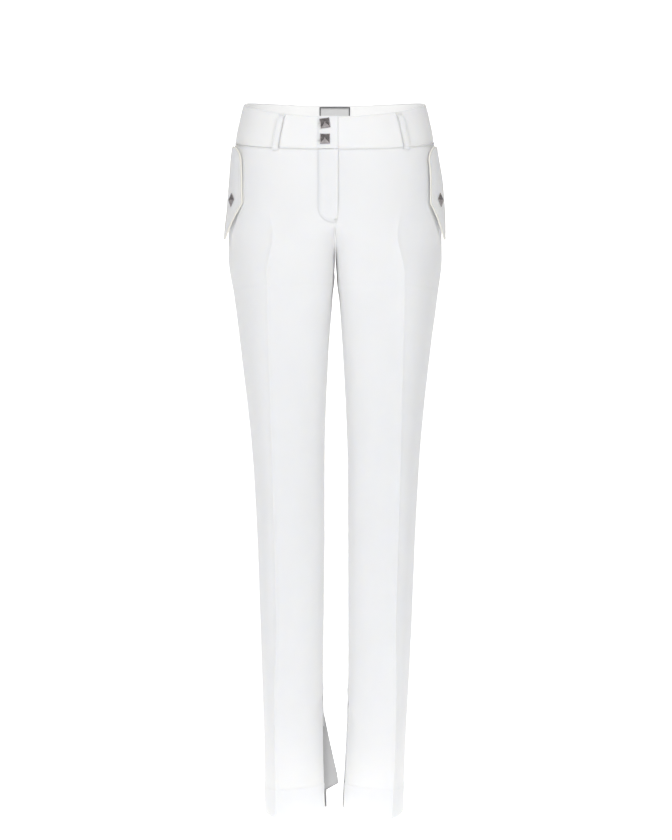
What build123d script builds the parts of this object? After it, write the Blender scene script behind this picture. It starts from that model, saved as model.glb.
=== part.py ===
from build123d import *

import os
from collections import namedtuple
from math import cos, pi, radians, sin

# Slim flared ski pants, in millimetres. +Z is up, -Y is the front and +X is the wearer's left.
# The origin is the middle of the waist opening, level with the top of the front waistband.

# Cloth
WALL = 1.6  # shell cloth with its bonded lining
BAND_WALL = 2.2  # waistband, two layers and interlining
FACING = 1.0  # facings, pocket bags and guards
SEAM = 0.002  # share of a panel's width left open at each seam
CENTRE_GAP = 0.4  # clearance each side of the centre seams
POINTS = 11  # spline points across a panel

# Waist
BAND_TILT = 12.4  # the waist drops to the front by this angle
TOP_Z = 22.0  # height of the waist plane above the origin, at the side seams
SEAM_Z = -25.0  # height of the waist seam, at the side seams
RIM_SIDE_Z, RIM_BACK_Z = 33.0, 45.0  # height of the band's top edge at the sides and behind
HIP_POWER = 2.3

# One cross-section of the pants. width is the half width, front and back are the half depths,
# shift is how far the front crease lies outside the leg's middle, and power and outer are the
# roundness inside and outside the crease: 1 is pointed, 2 an ellipse and more is boxy. A hip
# section spans both legs and a leg section spans one.
Section = namedtuple("Section", "z tilt leg x width front back shift power outer")
BAND_TOP = Section(TOP_Z, BAND_TILT, False, 0, 142.5, 103, 103, 0, HIP_POWER, 2)
WAIST_SEAM = Section(SEAM_Z, BAND_TILT, False, 0, 152.5, 109.5, 110.5, 0, HIP_POWER, 2)
FLAP_LEVEL = Section(-88, 7, False, 0, 160, 110.5, 116, 0, HIP_POWER, 2)
HIP = Section(-152, 2, False, 0, 163.5, 111, 119, 0, HIP_POWER, 2)
CROTCH = Section(-210, 0, True, 82.4, 81.8, 98, 106, 22, 4.4, 2.2)
UPPER = [
    Section(-262, 0, True, 80.8, 76, 91, 96, 24, 3.6, 2.0),
    Section(-345, 0, True, 78.4, 67.7, 78, 80, 25, 2.9, 1.85),
    Section(-484, 0, True, 73.8, 57, 68, 69, 26, 2.5, 1.75),
]
KNEE = Section(-622, 0, True, 70, 52.3, 62, 63, 25, 2.4, 1.75)
LOWER = [
    Section(-761, 0, True, 67.7, 49.2, 62, 65, 24, 2.3, 1.75),
    Section(-853, 0, True, 66, 47, 66, 69, 26, 2.2, 1.75),
    Section(-945, 0, True, 63, 46, 72, 74, 28, 2.2, 1.75),
]
HEM = Section(-1052, 0, True, 59, 47.6, 79, 80, 28, 2.2, 1.75)
SLIT_TURN = 8.0  # how far the hem slit is turned to the front
HIPS = [WAIST_SEAM, FLAP_LEVEL, HIP]
KNEE_GAP = 0.4  # clearance each side of the knee plane
HEM_TURN = 44.0  # depth of the turned-up hem

# Belt loops: a strap that stands off the waistband by the room a belt needs
LOOP_WIDTH, LOOP_STRAP, LOOP_ROOM, LOOP_HEIGHT = 10.0, 1.8, 6.0, 56.0
LOOP_PLACES = {
    "front_left": (101, -1),
    "front_right": (-83, -1),
    "back_left": (92, 1),
    "back_right": (-92, 1),
    "centre_back": (0, 1),
}

# Fly, seen from the front: the flap covers the zip from its hinge stitch to its free edge
FLY_HINGE_X, FLY_EDGE_X = -26.0, 5.0
FLY_BOTTOM_Z = -161.0
FLY_SLOT, FLY_SLOT_BOTTOM_Z = 18.0, -140.0
FLY_CLOTH = 1.8
LABEL_WIDTH, LABEL_HEIGHT = 48.0, 30.0
TAB_LEAN = 7.4  # how far the front of the waistband leans back
FLY_LEAN = 2.5  # how far the front leans back below the waistband
TAB_HEIGHT, TAB_GAP = 46.0, 1.0

# Studs: square pyramids on press-stud posts
STUD, STUD_RIM, STUD_PEAK = 15.5, 1.2, 5.2
POST_R, POST_LENGTH, SOCKET_R = 2.0, 3.4, 4.6
STUD_X, STUD_DROPS = -14.5, (10.5, 34.5)

# Pocket flaps, outlined in the side view, just in front of the side seam
FLAP_TOP_Z, FLAP_SHOULDER_Z, FLAP_WAIST_Z, FLAP_TIP_Z = -36.0, -66.0, -126.0, -178.0
FLAP_BACK_Y, FLAP_TIP_Y, FLAP_FRONT_Y, FLAP_CORNER_Y = -18.0, -40.0, -61.0, -69.0
FLAP_CLOTH, PIPING = 1.8, 2.2
FLAP_GAP_TOP, FLAP_GAP_TIP = 2.2, 8.5
FLAP_STUD_Z = -117.0
FLAP_LEAN, FLAP_TURN = 3.5, 20.0  # how far the flap leans in, and faces forward, at its stud

# Zips
TAPE, COIL, COIL_WIDTH = 0.8, 1.8, 1.6
SLIDER_WIDTH, SLIDER_LENGTH, SLIDER_PLATE, SLIDER_ROOM = 8.0, 11.0, 0.9, 2.8
ARCH_WIDTH, ARCH_SPAN, ARCH_ROOM, ARCH_BAR = 1.6, 2.8, 1.7, 0.8
PULL_WIDTH, PULL_THICK, PULL_BAR, PULL_EYE = 5.4, 1.0, 1.2, 3.2
PULL_PIVOT = SLIDER_ROOM / 2 + SLIDER_PLATE + ARCH_ROOM / 2  # height of the pull's pivot
SLIT_TOP_Z = -858.0
HEM_ZIP = 108.0  # length of each hem zip
SLIT_HALF_TOP, SLIT_HALF_BOTTOM = 5.2, 17.0  # half width of the open slit at its two ends

os.makedirs("parts", exist_ok=True)


def save(part, name):
    """Labels one finished piece and writes it as its own STEP file."""
    part.label = name
    export_step(part, f"parts/{name}.step")


def save_pair(part, name):
    """Writes the wearer's left piece and its mirror image on the right."""
    save(part, f"{name}_left")
    save(mirror(part, about=Plane.YZ), f"{name}_right")


# ---- Cross-sections ----


def between(a, b, z):
    """The section at height z on the straight run from section a to section b."""
    share = (z - a.z) / (b.z - a.z)
    mixed = [p + (q - p) * share for p, q in zip(a, b)]
    return Section(*mixed)._replace(leg=a.leg)


def plane_of(section):
    """The section's plane, tilted up to the back."""
    tilt = radians(section.tilt)
    return Plane(origin=(0, 0, section.z), x_dir=(1, 0, 0), z_dir=(0, -sin(tilt), cos(tilt)))


def rim_point(section, share, side, inset):
    """A point on the rim, inset from the outside. share runs from the inner seam (0) to the side
    seam (1), and side is -1 on a front panel and 1 on a back panel."""
    depth = section.front if side < 0 else section.back
    if not section.leg:
        across = (1 - cos(pi * share)) / 2
        x = CENTRE_GAP + (section.width - inset - CENTRE_GAP) * across
        return x, side * (depth - inset) * (1 - across**section.power) ** (1 / section.power)
    crest = -side * section.shift
    angle = pi * (1 - share)
    outward = cos(angle) > 0
    power = section.outer if outward else section.power
    width = section.width - crest if outward else section.width + crest
    reach = (abs(cos(angle)) ** power + sin(angle) ** power) ** (1 / power)
    x = (width - inset) * cos(angle) / reach
    return section.x + crest + x, side * (depth - inset) * sin(angle) / reach


def strip(section, side, inset, thickness, start=SEAM, end=1 - SEAM):
    """A closed band of cloth in one section, from start to end of a panel's width."""
    shares = [start + (end - start) * i / (POINTS - 1) for i in range(POINTS)]
    outer = [rim_point(section, s, side, inset) for s in shares]
    inner = [rim_point(section, s, side, inset + thickness) for s in shares]
    with BuildSketch(plane_of(section)) as sketch:
        with BuildLine():
            Spline(*outer)
            Line(outer[-1], inner[-1])
            Spline(*inner)
            Line(inner[0], outer[0])
        make_face()
    return sketch.sketch


def shell(sections, side, inset=0.0, thickness=WALL, start=SEAM, end=1 - SEAM):
    """A panel of cloth lofted straight from section to section."""
    with BuildPart() as cloth:
        for section in sections:
            add(strip(section, side, inset, thickness, start, end))
        loft(ruled=True)
    return cloth.part


def hip_block(inflate_top, inflate_tip):
    """The hips as a solid block, grown by a margin that changes evenly down the flap."""
    with BuildPart() as block:
        for section in HIPS + [HIP._replace(z=-200, tilt=0)]:
            share = (section.z - FLAP_TOP_Z) / (FLAP_TIP_Z - FLAP_TOP_Z)
            grow = inflate_top + (inflate_tip - inflate_top) * share
            quarter = [rim_point(section, i / 12, -1, -grow) for i in range(13)]
            back = [rim_point(section, i / 12, 1, -grow) for i in range(12)]
            with BuildSketch(plane_of(section)):
                with BuildLine():
                    Spline(*quarter, *reversed(back))
                    Line(back[0], quarter[0])
                make_face()
        loft(ruled=True)
    return block.part


# ---- Leg panels ----

inseam_top = rim_point(between(LOWER[0], LOWER[1], SLIT_TOP_Z), 0, -1, 0)
inseam_hem = rim_point(HEM, 0, -1, 0)
slit_top = Vector(*inseam_top, SLIT_TOP_Z)
slit_hem = Vector(*inseam_hem, HEM.z)
slit_up = (slit_top - slit_hem).normalized()
slit_front = Vector(sin(radians(SLIT_TURN)), -cos(radians(SLIT_TURN)), 0)
# Plane of the hem zip: x to the front, y up the slit, z out of the leg
SLIT = Plane(origin=slit_top, x_dir=slit_front, z_dir=slit_front.cross(slit_up))

reach = slit_top.Z - HEM.z + 30
with BuildPart() as slit_cut:
    with BuildSketch(SLIT.offset(-12)):
        with BuildLine():
            Polyline(
                (-SLIT_HALF_TOP, 0),
                (SLIT_HALF_TOP, 0),
                (SLIT_HALF_BOTTOM, -reach),
                (-SLIT_HALF_BOTTOM, -reach),
                close=True,
            )
        make_face()
    extrude(amount=24)

with BuildPart() as fly_slot:
    with Locations((0, -105, FLY_SLOT_BOTTOM_Z + 64)):
        Box(FLY_SLOT, 40, 128)

with BuildPart() as pocket_mouth:
    with Locations((155, FLAP_TIP_Y, -113)):
        Box(40, 8, 100)

knee_above = between(UPPER[-1], KNEE, KNEE.z + KNEE_GAP)
knee_below = between(KNEE, LOWER[0], KNEE.z - KNEE_GAP)
for side, name in ((-1, "front"), (1, "back")):
    upper = shell(HIPS + [CROTCH] + UPPER + [knee_above], side) - pocket_mouth.part
    if side < 0:
        upper = upper - fly_slot.part
    save_pair(upper, f"{name}_panel_upper")
    lower = shell([knee_below] + LOWER + [HEM], side) - slit_cut.part
    save_pair(lower, f"{name}_panel_lower")

# ---- Turned-up hems ----

hem_sections = [between(LOWER[-1], HEM, HEM.z + HEM_TURN), HEM]
with BuildPart() as hem_facing:
    for side in (-1, 1):
        add(shell(hem_sections, side, WALL + 0.5, FACING, 0.02, 0.98) - slit_cut.part)
save_pair(hem_facing.part, "hem_facing")

# ---- Waistband ----

band_sections = [WAIST_SEAM._replace(z=SEAM_Z + 0.6), between(WAIST_SEAM, BAND_TOP, 36)]
with BuildPart() as band:
    for side in (-1, 1):
        add(shell(band_sections, side, 0, BAND_WALL, SEAM, 1))


def above_rim(drop):
    """All that lies above the band's top edge, which dips to the front and is highest behind."""
    ends = ((-130, 0.5 - drop), (0, RIM_SIDE_Z - drop), (130, RIM_BACK_Z - drop))
    with BuildPart() as top:
        with BuildSketch(Plane.YZ.offset(-200)):
            with BuildLine():
                Polyline(ends[2], (130, 120), (-130, 120), ends[0])
                Spline((-130, -3 - drop), (-100, 0.6 - drop), ends[1], (100, RIM_BACK_Z - drop), ends[2])
                Line(ends[0], (-130, -3 - drop))
            make_face()
        extrude(amount=400)
    return top.part


band_cloth = band.part - above_rim(0)
front_top = Vector(0, -BAND_TOP.front * cos(radians(BAND_TILT)), 0)
TAB = Plane(
    origin=front_top,
    x_dir=(1, 0, 0),
    z_dir=(0, -cos(radians(TAB_LEAN)), sin(radians(TAB_LEAN))),
)
with BuildPart() as socket_holes:
    with BuildSketch(TAB.offset(-8)):
        with Locations(*[(STUD_X, -drop) for drop in STUD_DROPS]):
            Circle(SOCKET_R)
    extrude(amount=20)
save(band_cloth, "waistband_left")
save(mirror(band_cloth, about=Plane.YZ) - socket_holes.part, "waistband_right")

with BuildPart() as band_facing:
    for side in (-1, 1):
        start = 0.34 if side < 0 else SEAM
        add(shell(band_sections, side, BAND_WALL + 0.3, FACING, start, 1))
save_pair(band_facing.part - above_rim(1), "waistband_facing")

# ---- Label ----

label_back = BAND_TOP.back - BAND_WALL - 0.3 - FACING
label_lean = radians(BAND_TILT)
LABEL = Plane(
    origin=(0, (label_back - 1.2) * cos(label_lean), TOP_Z + label_back * sin(label_lean) - 3),
    x_dir=(1, 0, 0),
    z_dir=(0, -cos(radians(8)), sin(radians(8))),
)
with BuildPart() as label:
    with BuildSketch(LABEL):
        with Locations((0, -LABEL_HEIGHT / 2 - 2)):
            RectangleRounded(LABEL_WIDTH, LABEL_HEIGHT, 1)
    extrude(amount=0.6)
save(label.part, "waist_label")

# ---- Belt loops ----


def band_point(section, across, side):
    """A point on the outside of the waistband, a share across of its half width from the middle."""
    depth = section.front if side < 0 else section.back
    y = side * depth * (1 - abs(across) ** section.power) ** (1 / section.power)
    tilt = radians(section.tilt)
    return Vector(across * section.width, y * cos(tilt), section.z + y * sin(tilt))


def belt_loop(across, side):
    """A loop standing on the waistband, as a strap with two feet."""
    foot, head = (band_point(s, across, side) for s in (WAIST_SEAM, BAND_TOP))
    beside = band_point(WAIST_SEAM, across + 0.02, side)
    along = (beside - foot) * (1, -1)[side > 0]
    up = (head - foot).normalized()
    out = along.cross(up).normalized()
    centre = (foot + head) / 2 + up * 1.5 + out * 0.5
    reach = LOOP_ROOM + LOOP_STRAP
    with BuildPart(Plane(origin=centre, x_dir=up.cross(out), z_dir=out)) as loop:
        Box(LOOP_WIDTH, LOOP_HEIGHT, reach, align=(Align.CENTER, Align.CENTER, Align.MIN))
        room = (LOOP_WIDTH, LOOP_HEIGHT - 2 * LOOP_STRAP, LOOP_ROOM)
        Box(*room, align=(Align.CENTER, Align.CENTER, Align.MIN), mode=Mode.SUBTRACT)
    return loop.part


for place, (x, side) in LOOP_PLACES.items():
    save(belt_loop(x / (WAIST_SEAM.width + BAND_TOP.width) * 2, side), f"belt_loop_{place}")

# ---- Waist tab and fly flap: they open together about the hinge stitch ----

tab_middle = (FLY_HINGE_X + FLY_EDGE_X) / 2
tab_width = FLY_EDGE_X - FLY_HINGE_X
with BuildPart() as tab:
    with BuildSketch(TAB.offset(TAB_GAP)):
        with Locations((tab_middle, 0.5 - TAB_HEIGHT / 2)):
            Rectangle(tab_width, TAB_HEIGHT)
        with Locations(*[(STUD_X, -drop) for drop in STUD_DROPS]):
            Circle(POST_R + 0.05, mode=Mode.SUBTRACT)
    extrude(amount=BAND_WALL)
save(tab.part, "waist_tab")

fly_top = Vector(0, -WAIST_SEAM.front * cos(radians(BAND_TILT)), -49.0)
FLY = Plane(
    origin=fly_top,
    x_dir=(1, 0, 0),
    z_dir=(0, -cos(radians(FLY_LEAN)), sin(radians(FLY_LEAN))),
)
fly_drop = fly_top.Z - FLY_BOTTOM_Z
FLY_CURVE = 24.0
with BuildPart() as fly_flap:
    with BuildSketch(FLY.offset(0.6)):
        with BuildLine():
            Polyline(
                (FLY_HINGE_X, FLY_CURVE - fly_drop),
                (FLY_HINGE_X, -1),
                (FLY_EDGE_X, -1),
                (FLY_EDGE_X, 5 - fly_drop),
            )
            Line((FLY_EDGE_X, 5 - fly_drop), (FLY_EDGE_X - 5, -fly_drop))
            Spline(
                (FLY_EDGE_X - 5, -fly_drop),
                (FLY_HINGE_X, FLY_CURVE - fly_drop),
                tangents=((-1, 0.15), (0, 1)),
            )
        make_face()
    extrude(amount=FLY_CLOTH)
save(fly_flap.part, "fly_flap")


def stud(frame, turn):
    """A square pyramid head on a round post. The frame stands on the cloth, z outward."""
    base = STUD - 1.0
    with BuildPart(frame) as made:
        with BuildSketch(frame):
            RectangleRounded(STUD, STUD, 1.5, rotation=turn)
        extrude(amount=STUD_RIM)
        with BuildSketch(frame.offset(STUD_RIM)):
            Rectangle(base, base, rotation=turn)
        with BuildSketch(frame.offset(STUD_PEAK)):
            Rectangle(1.2, 1.2, rotation=turn)
        loft()
        with BuildSketch(frame):
            Circle(POST_R)
        extrude(amount=-POST_LENGTH)
    return made.part


def socket(frame):
    """The spring socket that a stud's post snaps into: a ring, sunk in the cloth."""
    with BuildPart(frame) as ring:
        with BuildSketch(frame):
            Circle(SOCKET_R - 0.1)
            Circle(POST_R + 0.6, mode=Mode.SUBTRACT)
        extrude(amount=-1.6)
    return ring.part


tab_face = TAB_GAP + BAND_WALL
for name, drop, turn in zip(("upper", "lower"), STUD_DROPS, (8, 0)):
    at = TAB.offset(tab_face).shift_origin(TAB.offset(tab_face).from_local_coords((STUD_X, -drop, 0)))
    save(stud(at, turn), f"waist_stud_{name}")
with BuildPart() as sockets:
    for drop in STUD_DROPS:
        at = TAB.offset(0.2)
        add(socket(at.shift_origin(at.from_local_coords((STUD_X, -drop, 0)))))
save(sockets.part, "waist_sockets")

# ---- Zips ----


def tape(frame, side, gap_top, gap_bottom, length, width):
    """One half of a zip tape, on the plane of the zip and as thick as the tape."""
    with BuildPart() as made:
        with BuildSketch(frame.offset(-TAPE / 2)):
            with BuildLine():
                Polyline(
                    (side * gap_top, 0),
                    (side * (gap_top + width), 0),
                    (side * (gap_bottom + width), -length),
                    (side * gap_bottom, -length),
                    close=True,
                )
            make_face()
        extrude(amount=TAPE)
    return made.part


def coil(frame, side, gap_top, gap_bottom, length):
    """One row of teeth, as a bar along the edge of its tape."""
    with BuildPart() as made:
        with BuildSketch(frame.offset(-COIL / 2)):
            with BuildLine():
                Polyline(
                    (side * (gap_top - 0.05), -1),
                    (side * (gap_top - COIL_WIDTH), -1),
                    (side * (gap_bottom - COIL_WIDTH), 1 - length),
                    (side * (gap_bottom - 0.05), 1 - length),
                    close=True,
                )
            make_face()
        extrude(amount=COIL)
    return made.part


def slider(frame, y):
    """Two plates joined by a post above the teeth, with an arch that holds the pull."""
    outside = SLIDER_ROOM / 2
    with BuildPart() as made:
        for start in (outside, -outside - SLIDER_PLATE):
            with BuildSketch(frame.offset(start)):
                with Locations((0, y - SLIDER_LENGTH / 2)):
                    RectangleRounded(SLIDER_WIDTH, SLIDER_LENGTH, 2)
            extrude(amount=SLIDER_PLATE)
        with BuildSketch(frame.offset(-outside)):
            with Locations((0, y - 1.2)):
                Rectangle(2.0, 2.0)
        extrude(amount=SLIDER_ROOM)
        arch_y = y - SLIDER_LENGTH / 2
        with BuildSketch(frame.offset(outside + SLIDER_PLATE)):
            with Locations((0, arch_y)):
                Rectangle(ARCH_WIDTH, ARCH_SPAN + 2 * ARCH_BAR)
        extrude(amount=ARCH_ROOM + ARCH_BAR)
        with BuildSketch(frame.offset(outside + SLIDER_PLATE)):
            with Locations((0, arch_y)):
                Rectangle(ARCH_WIDTH, ARCH_SPAN)
        extrude(amount=ARCH_ROOM, mode=Mode.SUBTRACT)
    return made.part


def pull(frame, y, length):
    """A flat tab whose top bar lies in the slider's arch. y is the height of the slider's top."""
    pivot_y = y - SLIDER_LENGTH / 2
    with BuildPart() as made:
        with BuildSketch(frame.offset(PULL_PIVOT - PULL_THICK / 2)):
            with Locations((0, pivot_y + PULL_BAR / 2 - length / 2)):
                RectangleRounded(PULL_WIDTH, length, 0.5)
            with Locations((0, pivot_y - PULL_BAR / 2 - PULL_EYE / 2)):
                Rectangle(ARCH_WIDTH + 0.8, PULL_EYE, mode=Mode.SUBTRACT)
            with Locations((0, pivot_y + 3.4 - length)):
                Circle(1.3, mode=Mode.SUBTRACT)
        extrude(amount=PULL_THICK)
    return made.part


# The fly zip: its two rows stand just far enough apart for the slider's post to pass
FLY_ZIP_DEPTH, FLY_ZIP, FLY_ROW = 5.6, 82.0, 2.9
fly_zip = FLY.offset(-FLY_ZIP_DEPTH)
fly_zip = fly_zip.shift_origin(fly_zip.from_local_coords((0, -4, 0)))
for side, name in ((1, "left"), (-1, "right")):
    save(tape(fly_zip, side, FLY_ROW, FLY_ROW, FLY_ZIP, 12), f"fly_zip_tape_{name}")
with BuildPart() as fly_teeth:
    for side in (-1, 1):
        add(coil(fly_zip, side, FLY_ROW, FLY_ROW, FLY_ZIP))
save(fly_teeth.part, "fly_zip_teeth")
save(slider(fly_zip, 0), "fly_zip_slider")
save(pull(fly_zip, 0, 22), "fly_zip_pull")
with BuildPart() as fly_guard:
    with BuildSketch(FLY.offset(-FLY_ZIP_DEPTH - 4.6)):
        with Locations((2, -50)):
            RectangleRounded(34, 94, 4)
    extrude(amount=-FACING)
save(fly_guard.part, "fly_guard")

# Each hem zip is open: its slider waits at the top and its two tapes spread down the slit
HEM_ZIP_DEPTH, HEM_ROW = 5.9, 3.4
hem_zip = SLIT.offset(-HEM_ZIP_DEPTH)
spread = 1.6 + (SLIT_HALF_BOTTOM - SLIT_HALF_TOP) * HEM_ZIP / (SLIT_TOP_Z - HEM.z + 30)
with BuildPart() as hem_tapes:
    for side in (-1, 1):
        add(tape(hem_zip, side, HEM_ROW, spread + 1.8, HEM_ZIP, 5.5))
with BuildPart() as hem_teeth:
    for side in (-1, 1):
        add(coil(hem_zip, side, HEM_ROW, spread + 1.8, HEM_ZIP))
save_pair(hem_tapes.part, "hem_zip_tapes")
save_pair(hem_teeth.part, "hem_zip_teeth")
save_pair(slider(hem_zip, -1), "hem_zip_slider")
save_pair(pull(hem_zip, -1, 32), "hem_zip_pull")
with BuildPart() as hem_stop:
    with BuildSketch(hem_zip.offset(-3.4)):
        with Locations((-spread - 2.2, -HEM_ZIP - 10.5)):
            RectangleRounded(8, 20, 1.5)
    extrude(amount=3.4)
save_pair(hem_stop.part, "hem_zip_stop")
with BuildPart() as vent_guard:
    with BuildSketch(SLIT.offset(-HEM_ZIP_DEPTH - 4)):
        with BuildLine():
            Polyline((4, 4), (-8, 4), (-25, -145), (-20, -158), (-10, -164), (-4, -150), close=True)
        make_face()
    extrude(amount=-FACING)
save_pair(vent_guard.part, "vent_guard")

# ---- Pocket flaps ----


def flap_outline(grow):
    """The flap's side view: straight sides, a pointed tip and a top that curves down forward."""
    back, front = FLAP_BACK_Y + grow, FLAP_FRONT_Y - grow
    top, tip = FLAP_TOP_Z + grow, FLAP_TIP_Z - grow * 1.5
    corner = FLAP_WAIST_Z - grow / 2
    with BuildSketch(Plane.YZ) as sketch:
        with BuildLine():
            Spline(
                (front, FLAP_SHOULDER_Z),
                (back - 6, top),
                tangents=((0.1, 1), (1, 0.1)),
            )
            Polyline(
                (back - 6, top),
                (back, top),
                (back, corner),
                (FLAP_TIP_Y + 1.5, tip),
                (FLAP_TIP_Y - 1.5, tip),
                (FLAP_CORNER_Y - grow, corner),
                (front, FLAP_SHOULDER_Z),
            )
        make_face()
    return sketch.sketch


def flap_layer(gap, thickness, outline):
    """The part of a layer over the hips, gap outside them, that lies within the outline."""
    block = hip_block(FLAP_GAP_TOP + gap + thickness, FLAP_GAP_TIP + gap + thickness)
    block = block - hip_block(FLAP_GAP_TOP + gap, FLAP_GAP_TIP + gap)
    return block & extrude(outline, amount=300)


full, panel = flap_outline(0), flap_outline(-PIPING - 0.15)
save_pair(flap_layer(-0.3, FLAP_CLOTH + 0.6, full - flap_outline(-PIPING)), "flap_piping")

hip_at_stud = between(FLAP_LEVEL, HIP, FLAP_STUD_Z)
stud_share = (FLAP_STUD_Z - FLAP_TOP_Z) / (FLAP_TIP_Z - FLAP_TOP_Z)
stud_gap = FLAP_GAP_TOP + (FLAP_GAP_TIP - FLAP_GAP_TOP) * stud_share + FLAP_CLOTH
stud_side = hip_at_stud.width + stud_gap
stud_front = hip_at_stud.front + stud_gap
stud_x = stud_side * (1 - abs(FLAP_TIP_Y / stud_front) ** HIP_POWER) ** (1 / HIP_POWER)
flap_turn, flap_lean = radians(FLAP_TURN), radians(FLAP_LEAN)
flap_out = (cos(flap_turn) * cos(flap_lean), -sin(flap_turn) * cos(flap_lean), sin(flap_lean))
flap_face = Plane(
    origin=Vector(stud_x, FLAP_TIP_Y, FLAP_STUD_Z) + Vector(*flap_out) * 0.5,
    x_dir=(sin(flap_turn), cos(flap_turn), 0),
    z_dir=flap_out,
)
with BuildPart() as flap_hole:
    with BuildSketch(flap_face.offset(-10)):
        Circle(POST_R + 0.05)
    extrude(amount=20)
save_pair(flap_layer(0, FLAP_CLOTH, panel) - flap_hole.part, "pocket_flap")
save_pair(stud(flap_face, 45), "flap_stud")

# ---- Pocket bags: two layers behind each pocket mouth ----

bag_sections = [between(WAIST_SEAM, FLAP_LEVEL, -50), FLAP_LEVEL, HIP._replace(z=-150)]
with BuildPart() as pocket_bag:
    for inset in (WALL + 3, WALL + 5):
        add(shell(bag_sections, -1, inset, FACING, 0.62, 0.97))
save_pair(pocket_bag.part, "pocket_bag")
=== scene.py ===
from math import cos, exp, pi, radians, sin

import bmesh
import bpy
import numpy as np
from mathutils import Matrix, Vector


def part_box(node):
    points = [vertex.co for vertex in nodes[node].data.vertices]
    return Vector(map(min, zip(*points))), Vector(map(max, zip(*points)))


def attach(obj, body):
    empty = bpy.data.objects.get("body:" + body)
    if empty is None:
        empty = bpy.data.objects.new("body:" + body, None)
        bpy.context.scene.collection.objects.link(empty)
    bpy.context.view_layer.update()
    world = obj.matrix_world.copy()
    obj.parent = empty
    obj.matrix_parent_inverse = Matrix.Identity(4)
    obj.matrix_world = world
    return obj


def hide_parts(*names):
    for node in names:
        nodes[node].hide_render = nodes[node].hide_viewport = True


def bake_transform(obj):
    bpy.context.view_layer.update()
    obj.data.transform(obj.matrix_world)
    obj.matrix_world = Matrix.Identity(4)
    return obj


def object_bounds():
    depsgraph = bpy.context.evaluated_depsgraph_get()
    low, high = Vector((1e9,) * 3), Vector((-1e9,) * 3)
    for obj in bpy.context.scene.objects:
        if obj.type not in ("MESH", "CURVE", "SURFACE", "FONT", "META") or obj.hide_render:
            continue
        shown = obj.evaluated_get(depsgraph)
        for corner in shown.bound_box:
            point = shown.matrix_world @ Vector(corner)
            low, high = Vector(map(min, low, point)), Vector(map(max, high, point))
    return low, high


# Slim flared ski pants, in metres: +Z up, -Y the front, +X the wearer's left.

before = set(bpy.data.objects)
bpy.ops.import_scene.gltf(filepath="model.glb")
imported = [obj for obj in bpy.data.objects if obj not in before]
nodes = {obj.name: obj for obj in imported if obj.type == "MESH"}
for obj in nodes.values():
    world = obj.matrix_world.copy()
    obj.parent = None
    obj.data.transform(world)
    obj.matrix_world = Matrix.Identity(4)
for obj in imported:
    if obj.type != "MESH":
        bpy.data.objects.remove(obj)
cad_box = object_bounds()

# ---- Cross-sections ----

MM = 0.001
HIP_POWER = 2.3
SLIT_TOP = -0.858
# height: tilt, half width, half depth to the front and to the back, in millimetres
HIPS = {
    36: (12.4, 139.5, 101, 101),
    22: (12.4, 142.5, 103, 103),
    -25: (12.4, 152.5, 109.5, 110.5),
    -88: (7, 160, 110.5, 116),
    -152: (2, 163.5, 112, 119),
    -215: (0, 163.5, 104, 112),
}
# height: middle, half width, half depths, how far the crease lies outside the middle,
# roundness inside and outside the crease
LEGS = {
    -150: (82.4, 81.8, 98, 110, 20, 6.0, 1.6),
    -210: (82.4, 81.8, 95, 106, 21, 4.6, 1.6),
    -262: (80.8, 76, 89, 96, 22, 3.8, 1.6),
    -345: (78.4, 67.7, 78, 80, 23, 3.0, 1.6),
    -484: (73.8, 57, 69, 69, 24, 2.6, 1.58),
    -622: (70, 52.3, 63, 63, 24, 2.4, 1.58),
    -761: (67.7, 49.2, 63, 65, 23, 2.3, 1.58),
    -853: (66, 47, 67, 69, 26, 1.9, 1.58),
    -945: (63, 46, 73, 74, 28, 1.7, 1.58),
    -1052: (59, 47.6, 79, 80, 28, 1.6, 1.6),
}
SLIT_TURN = 8.0
# How the leg sways to the wearer's left on its way down, in millimetres
SWAY = {0: 0, -200: 0.8, -276: 1.9, -350: 1.5, -553: 2.4, -761: 2.0, -899: 0.8, -1037: -0.8}


def smooth(t):
    t = min(1, max(0, t))
    return t * t * (3 - 2 * t)


def ramp(a, b, v):
    return smooth((v - a) / (b - a))


def table(rows, z):
    """The row at height z (mm), on a smooth curve through the table's rows."""
    keys = sorted(rows)
    values = [np.atleast_1d(np.array(rows[k], float)) for k in keys]
    if z <= keys[0]:
        return values[0]
    if z >= keys[-1]:
        return values[-1]
    i = max(n for n, k in enumerate(keys) if k <= z)
    i = min(i, len(keys) - 2)
    slopes = []
    for n in (i, i + 1):
        if n == 0 or n == len(keys) - 1:
            a, b = (0, 1) if n == 0 else (n - 1, n)
            slopes.append((values[b] - values[a]) / (keys[b] - keys[a]))
        else:
            slopes.append((values[n + 1] - values[n - 1]) / (keys[n + 1] - keys[n - 1]))
    h = keys[i + 1] - keys[i]
    t = (z - keys[i]) / h
    return (
        (1 + 2 * t) * (1 - t) ** 2 * values[i]
        + t * (1 - t) ** 2 * h * slopes[0]
        + t * t * (3 - 2 * t) * values[i + 1]
        + t * t * (t - 1) * h * slopes[1]
    )


def hip_point(z, share, side, inset=0.0, gap=0.15):
    """share runs from the centre seam (0) to the side seam (1); side is -1 in front."""
    tilt, width, front, back = table(HIPS, z)
    depth = (front if side < 0 else back) - inset
    across = (1 - cos(pi * share)) / 2
    x = gap + (width - inset - gap) * across
    y = side * depth * max(0.0, 1 - across**HIP_POWER) ** (1 / HIP_POWER)
    t = radians(tilt)
    return np.array((x, y * cos(t), z + y * sin(t)))


def leg_point(z, share, side, inset=0.0):
    middle, width, front, back, shift, inner, outer = table(LEGS, z)
    crest = -side * shift
    c, s = -cos(pi * share), sin(pi * share)
    power = outer if c > 0 else inner
    half = (width - crest if c > 0 else width + crest) - inset
    depth = (front if side < 0 else back) - inset
    reach = (abs(c) ** power + s**power) ** (1 / power)
    return np.array((middle + crest + half * c / reach, side * depth * s / reach, z))


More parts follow.
